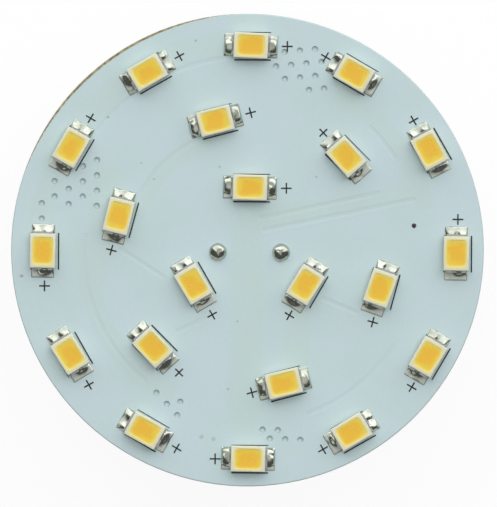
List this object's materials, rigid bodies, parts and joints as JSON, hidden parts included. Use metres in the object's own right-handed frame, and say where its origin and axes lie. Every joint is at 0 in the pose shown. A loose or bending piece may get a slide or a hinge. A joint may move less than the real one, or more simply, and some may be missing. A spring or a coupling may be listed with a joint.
{
  "type": "led disc bulb with plug pins",
  "caption": "Flat round LED lamp: a white board with rings of surface-mount LEDs in front, driver parts and straight plug pins behind.",
  "frame": {"origin": "midway between the plug pins, on the board's back face", "axes": "+Z out of the light side along the board's axis, X through both pins, pins pointing to -Z"},
  "size_m": [0.03, 0.03, 0.0119],
  "materials": {
    "white_solder_mask": "satin white solder mask over glass laminate, tan at the cut edge",
    "white_led_plastic": "moulded white reflector plastic",
    "phosphor_resin": "yellow phosphor in clear silicone",
    "tinned_metal": "dull tin plating",
    "solder": "bright reflowed solder",
    "pin_metal": "drawn and tinned pin wire",
    "black_moulding": "matt black moulding compound",
    "ferrite": "dark sintered ferrite",
    "enamelled_copper": "copper wire under clear enamel",
    "capacitor_ceramic": "tan fired ceramic",
    "resistor_ceramic": "black glaze over white ceramic"
  },
  "bodies": {
    "root": {"board": "white_solder_mask", "led_outer_01_cup": "white_led_plastic", "led_outer_01_phosphor": "phosphor_resin", "led_outer_02_cup": "white_led_plastic", "led_outer_02_phosphor": "phosphor_resin", "led_outer_03_cup": "white_led_plastic", "led_outer_03_phosphor": "phosphor_resin", "led_outer_04_cup": "white_led_plastic", "led_outer_04_phosphor": "phosphor_resin", "led_outer_05_cup": "white_led_plastic", "led_outer_05_phosphor": "phosphor_resin", "led_outer_06_cup": "white_led_plastic", "led_outer_06_phosphor": "phosphor_resin", "led_outer_07_cup": "white_led_plastic", "led_outer_07_phosphor": "phosphor_resin", "led_outer_08_cup": "white_led_plastic", "led_outer_08_phosphor": "phosphor_resin", "led_outer_09_cup": "white_led_plastic", "led_outer_09_phosphor": "phosphor_resin", "led_outer_10_cup": "white_led_plastic", "led_outer_10_phosphor": "phosphor_resin", "led_outer_11_cup": "white_led_plastic", "led_outer_11_phosphor": "phosphor_resin", "led_outer_12_cup": "white_led_plastic", "led_outer_12_phosphor": "phosphor_resin", "led_middle_01_cup": "white_led_plastic", "led_middle_01_phosphor": "phosphor_resin", "led_middle_02_cup": "white_led_plastic", "led_middle_02_phosphor": "phosphor_resin", "led_middle_03_cup": "white_led_plastic", "led_middle_03_phosphor": "phosphor_resin", "led_middle_04_cup": "white_led_plastic", "led_middle_04_phosphor": "phosphor_resin", "led_middle_05_cup": "white_led_plastic", "led_middle_05_phosphor": "phosphor_resin", "led_middle_06_cup": "white_led_plastic", "led_middle_06_phosphor": "phosphor_resin", "led_inner_01_cup": "white_led_plastic", "led_inner_01_phosphor": "phosphor_resin", "led_inner_02_cup": "white_led_plastic", "led_inner_02_phosphor": "phosphor_resin", "led_inner_03_cup": "white_led_plastic", "led_inner_03_phosphor": "phosphor_resin", "led_terminals": "tinned_metal", "led_solder": "solder", "pin_left": "pin_metal", "pin_right": "pin_metal", "pin_solder": "solder", "bridge_rectifier": "black_moulding", "driver_chip": "black_moulding", "flyback_diode": "black_moulding", "driver_leads": "tinned_metal", "inductor_core": "ferrite", "inductor_winding": "enamelled_copper", "inductor_terminals": "tinned_metal", "input_capacitor": "capacitor_ceramic", "output_capacitor": "capacitor_ceramic", "sense_resistors": "resistor_ceramic", "chip_end_caps": "tinned_metal", "driver_solder": "solder"}
  },
  "joints": []
}
